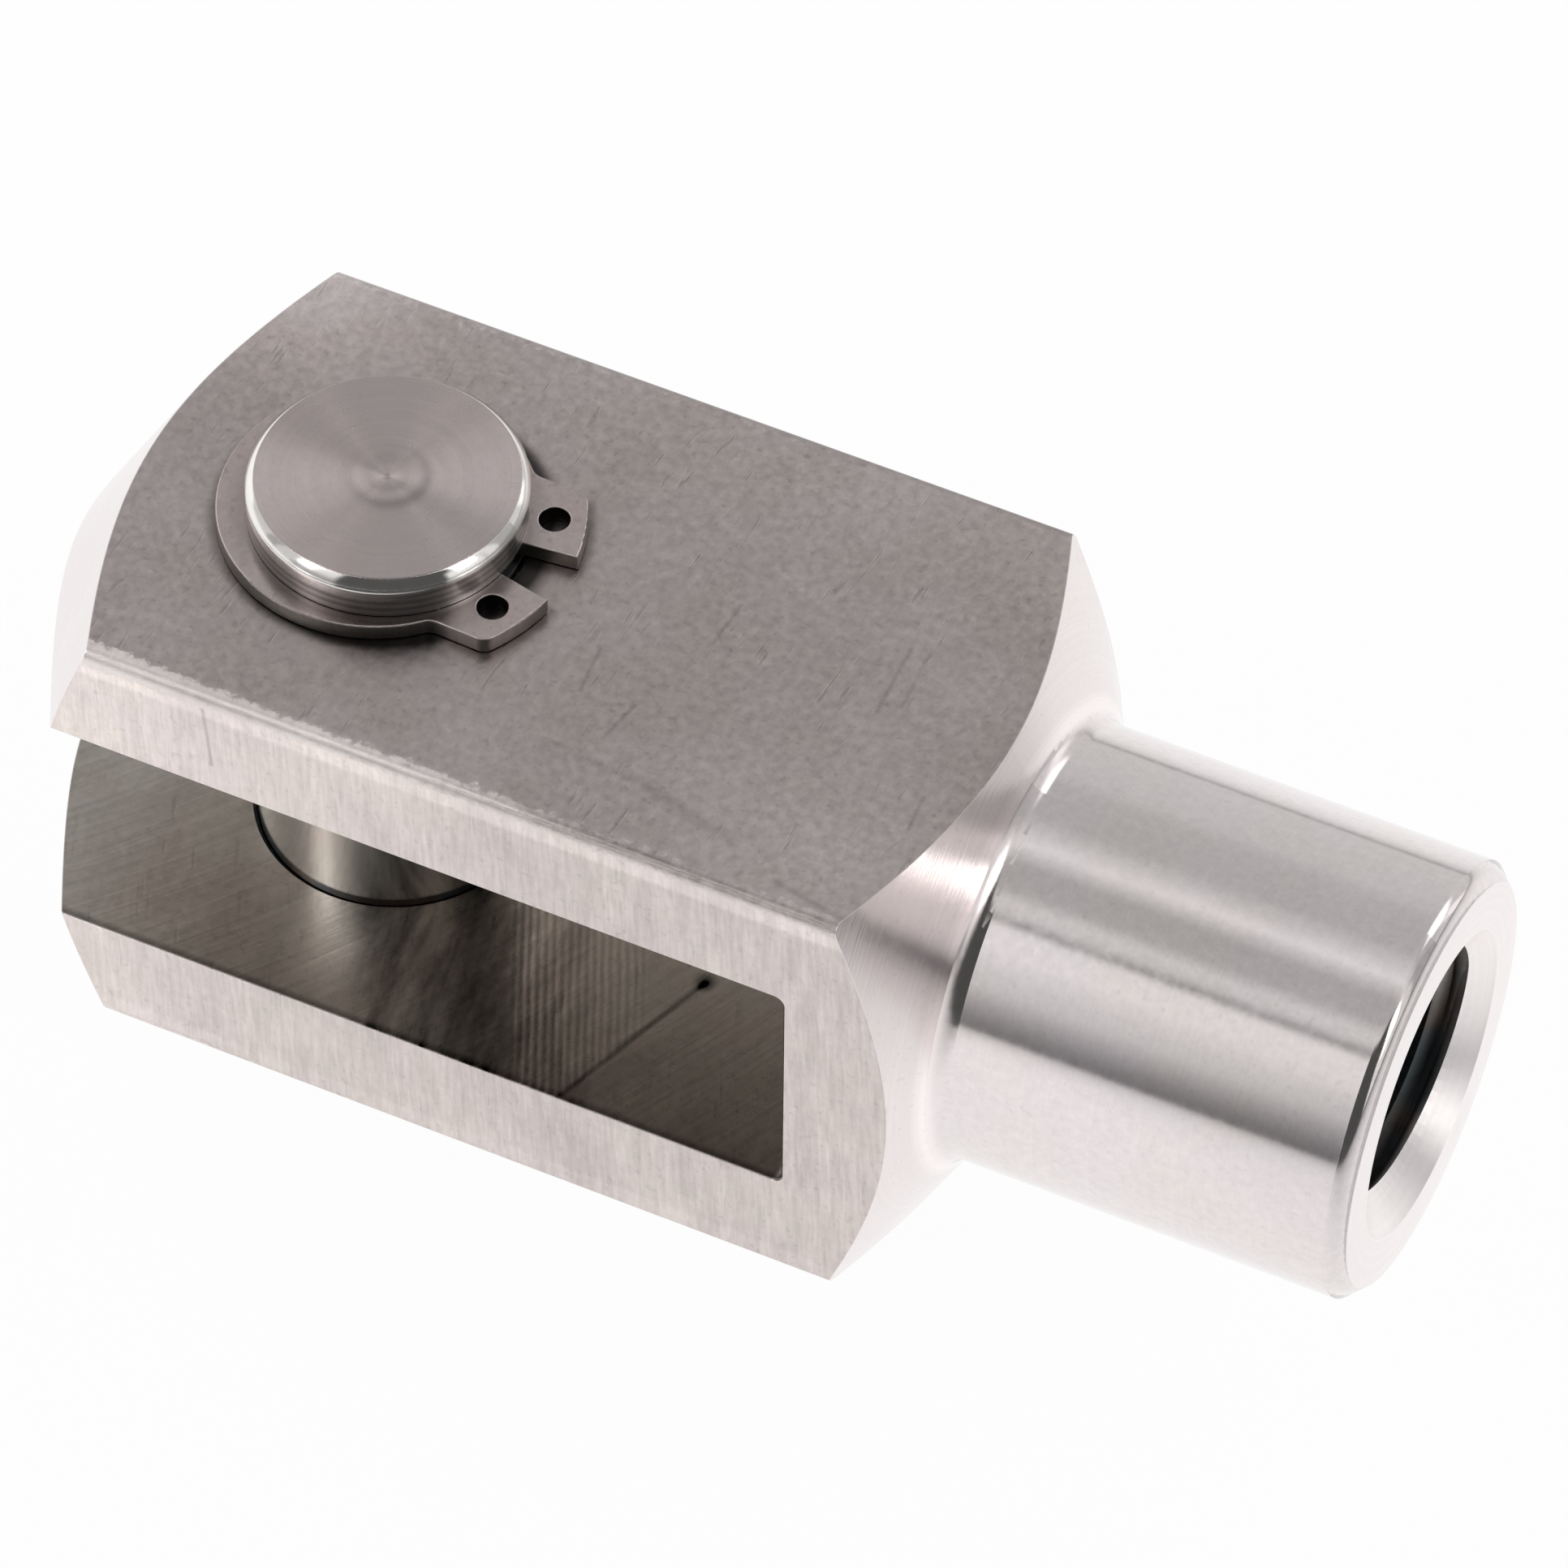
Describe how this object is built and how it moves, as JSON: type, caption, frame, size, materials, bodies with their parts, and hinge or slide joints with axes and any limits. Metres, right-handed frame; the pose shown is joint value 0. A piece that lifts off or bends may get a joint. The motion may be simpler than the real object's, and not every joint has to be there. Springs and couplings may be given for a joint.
{
  "type": "clevis rod end",
  "caption": "Fork head of square bar with a tapped round neck, and a cross pin held between its ears by a retaining ring on each end.",
  "frame": {"origin": "the middle of the pin, where its axis crosses the rod's axis", "axes": "+X along the rod's axis and out of the neck's tapped hole, so the slot opens towards -X; +Z along the pin's axis; Y across the ears"},
  "size_m": [0.0834, 0.032, 0.0396],
  "materials": {
    "fork_steel": "bright drawn, turned and milled steel",
    "pin_steel": "turned and ground steel",
    "spring_steel": "stamped spring steel"
  },
  "bodies": {
    "fork": {"fork": "fork_steel"},
    "pin": {"pin": "pin_steel", "upper_retaining_ring": "spring_steel", "lower_retaining_ring": "spring_steel"}
  },
  "joints": [
    {"name": "pin_turn", "type": "hinge", "parent": "fork", "child": "pin", "pos_m": [0, 0, 0], "axis": [0, 0, 1], "continuous": true}
  ]
}
